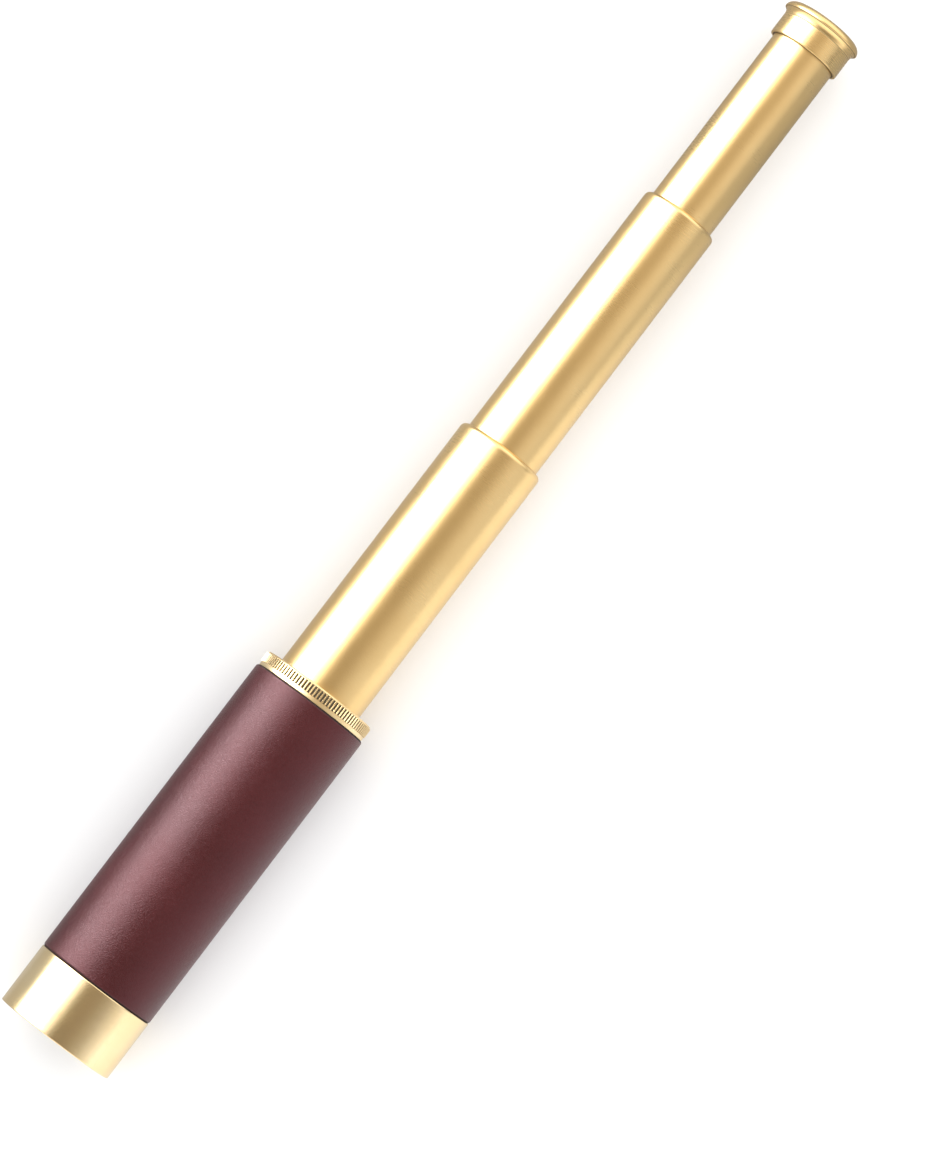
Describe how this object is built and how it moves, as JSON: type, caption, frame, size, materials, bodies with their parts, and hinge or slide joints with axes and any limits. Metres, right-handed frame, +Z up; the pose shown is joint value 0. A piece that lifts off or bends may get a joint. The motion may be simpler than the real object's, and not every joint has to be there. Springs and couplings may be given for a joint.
{
  "type": "telescope",
  "caption": "Pocket spyglass with a leather-sleeved brass barrel, a knurled end ring, telescoping draw tubes, an erector and a flared eyecup.",
  "frame": {"origin": "on the surface that the barrel lies on, under the middle of the spyglass when it is fully drawn out", "axes": "+X along the line of sight, from the eye towards the objective; +Y to the left of someone looking through it; +Z up"},
  "size_m": [0.3602, 0.037, 0.037],
  "materials": {
    "satin_brass": "fine satin, lacquered",
    "plain_brass": "turned, unlacquered",
    "blackened_brass": "matt black inside and under the leather",
    "leather": "smooth oxblood bookbinding leather, half gloss",
    "blackened_metal": "matt black",
    "coated_glass": "polished, with a faint blue coating",
    "glass": "polished",
    "felt": "dense felt"
  },
  "bodies": {
    "barrel": {"objective_cell": "satin_brass", "objective_retaining_ring": "plain_brass", "objective_crown_lens": "coated_glass", "objective_flint_lens": "coated_glass", "barrel_tube": "blackened_brass", "leather_sleeve": "leather", "knurled_end_ring": "satin_brass", "barrel_friction_felt": "felt"},
    "large_draw": {"large_draw_tube": "satin_brass", "large_stop_ring": "blackened_metal", "large_guide_bush": "plain_brass", "large_friction_felt": "felt"},
    "middle_draw": {"middle_draw_tube": "satin_brass", "middle_stop_ring": "plain_brass", "middle_diaphragm": "blackened_metal", "middle_guide_bush": "plain_brass", "middle_friction_felt": "felt"},
    "small_draw": {"small_draw_tube": "satin_brass", "small_stop_ring": "plain_brass", "erector_tube": "blackened_metal", "erector_front_ring": "blackened_metal", "erector_front_lens": "glass", "erector_stop": "blackened_metal", "erector_rear_lens": "glass", "erector_rear_ring": "blackened_metal", "eyepiece_cell": "blackened_metal", "field_lens_ring": "blackened_metal", "field_lens": "glass", "field_stop": "blackened_metal", "eyepiece_spacer": "blackened_metal", "eye_lens": "glass", "eyecup": "satin_brass"}
  },
  "joints": [
    {"name": "large_draw_slide", "type": "slide", "parent": "barrel", "child": "large_draw", "axis": [1, 0, 0], "range_m": [0, 0.0805]},
    {"name": "middle_draw_slide", "type": "slide", "parent": "large_draw", "child": "middle_draw", "axis": [1, 0, 0], "range_m": [0, 0.0775]},
    {"name": "small_draw_slide", "type": "slide", "parent": "middle_draw", "child": "small_draw", "axis": [1, 0, 0], "range_m": [0, 0.0575]}
  ]
}
